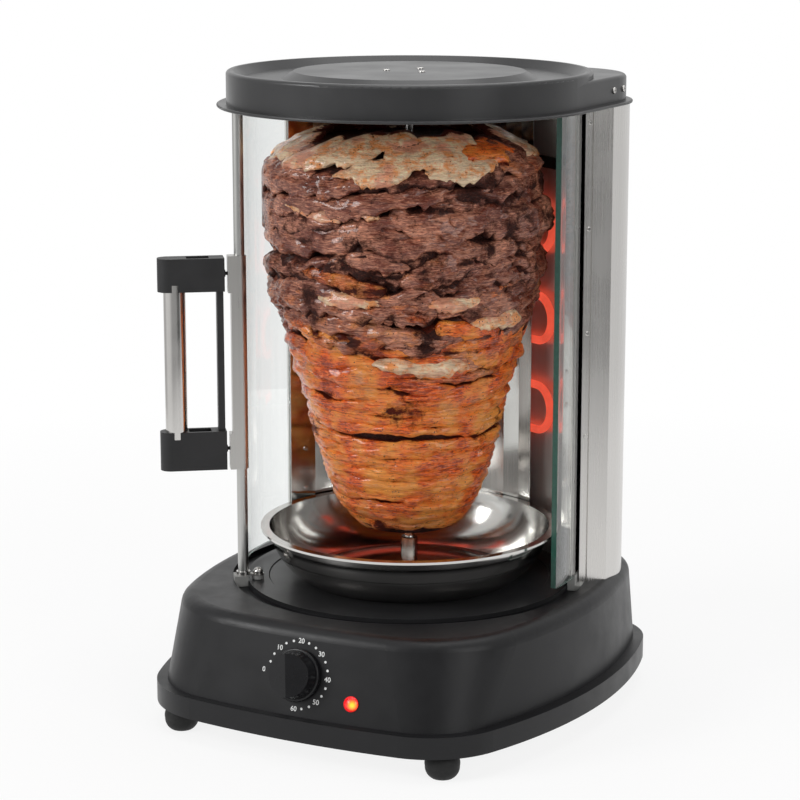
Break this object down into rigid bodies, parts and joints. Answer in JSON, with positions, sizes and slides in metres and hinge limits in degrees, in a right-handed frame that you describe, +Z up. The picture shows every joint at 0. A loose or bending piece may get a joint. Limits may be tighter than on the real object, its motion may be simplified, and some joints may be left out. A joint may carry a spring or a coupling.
{
  "type": "vertical rotisserie grill",
  "caption": "Tabletop vertical rotisserie grill: round spit chamber in a folded steel casing, turning curved glass door with a bar handle, rear heater, drip tray, timer knob.",
  "frame": {"origin": "on the table under the middle of the whole grill's bounding box", "axes": "+Z up along the spit; -Y is the front with the timer knob; +X is the right-hand side of someone in front"},
  "size_m": [0.372, 0.3936, 0.5392],
  "materials": {
    "base_plastic": "satin, fine grain",
    "inner_plastic": "matte",
    "lid_enamel": "semi-gloss black enamel",
    "black_enamel": "gloss black enamel",
    "casing_steel": "fine brushed",
    "polished_steel": "polished stainless",
    "plain_steel": "mill finish",
    "bright_steel": "polished",
    "screw_steel": "plated",
    "black_screw": "blackened",
    "zinc_casting": "as cast",
    "bearing_bronze": "plain bearing bronze",
    "heater_sheath": "hot metal sheath, glowing",
    "ceramic": "glazed ceramic",
    "lead_wire": "bare stiff wire",
    "glass": "clear tempered glass",
    "slider_nylon": "black heat-resistant plastic",
    "handle_plastic": "semi-gloss black",
    "knob_plastic": "semi-gloss black",
    "lamp_lens": "clear red",
    "foot_rubber": "matte",
    "load": "roasted load"
  },
  "bodies": {
    "frame": {"base_housing": "base_plastic", "bottom_plate": "plain_steel", "bottom_screws": "screw_steel", "feet": "foot_rubber", "foot_screws": "screw_steel", "hearth_plate": "black_enamel", "plate_screws": "screw_steel", "shaft_bush": "bearing_bronze", "gear_case": "zinc_casting", "motor_can": "plain_steel", "motor_screws": "screw_steel", "outer_casing": "casing_steel", "casing_screws": "screw_steel", "jamb_strips": "casing_steel", "jamb_rivets": "screw_steel", "side_linings": "polished_steel", "lining_screws": "screw_steel", "rear_reflector": "polished_steel", "guard_panel": "polished_steel", "heater_element": "heater_sheath", "heater_strap": "black_enamel", "heater_supports": "plain_steel", "heater_terminals": "ceramic", "heater_leads": "lead_wire", "ceiling_plate": "polished_steel", "bearing_cup": "bearing_bronze", "bearing_screws": "screw_steel", "upper_track": "black_enamel", "lid_shell": "lid_enamel", "lid_brackets": "plain_steel", "lid_screws": "screw_steel", "timer_body": "inner_plastic", "timer_screws": "screw_steel", "lamp_lens": "lamp_lens", "lamp_holder": "inner_plastic", "terminal_block": "inner_plastic", "cord_gland": "inner_plastic"},
    "spit": {"drive_shaft": "plain_steel", "drive_sleeve": "bright_steel", "sleeve_pin": "bright_steel", "spit_rod": "bright_steel", "skewer_plate": "plain_steel", "meat_stack": "load"},
    "tray": {"drip_tray": "polished_steel"},
    "door": {"door_glass": "glass", "door_post": "bright_steel", "post_ring": "bright_steel", "door_shoe": "slider_nylon", "guide_shoes": "slider_nylon", "guide_arm": "bright_steel", "arm_glide": "slider_nylon", "arm_nut": "bright_steel", "handle_clip": "bright_steel", "handle_top_end": "handle_plastic", "handle_bottom_end": "handle_plastic", "handle_tube": "bright_steel", "handle_strap": "handle_plastic", "handle_screws": "black_screw"},
    "knob": {"timer_knob": "knob_plastic", "timer_shaft": "plain_steel"}
  },
  "joints": [
    {"name": "spit_turn", "type": "hinge", "parent": "frame", "child": "spit", "pos_m": [0, 0.01881, 0.3], "axis": [0, 0, 1], "continuous": true},
    {"name": "door_swing", "type": "hinge", "parent": "frame", "child": "door", "pos_m": [0, 0.01881, 0.3], "axis": [0, 0, 1], "range_deg": [-45, 150]},
    {"name": "timer_turn", "type": "hinge", "parent": "frame", "child": "knob", "pos_m": [0, -0.17284, 0.07], "axis": [0, 0.9676, -0.2524], "range_deg": [-77, 193]},
    {"name": "tray_lift", "type": "slide", "parent": "frame", "child": "tray", "axis": [0, 0, 1], "range_m": [0, 0.02]}
  ]
}
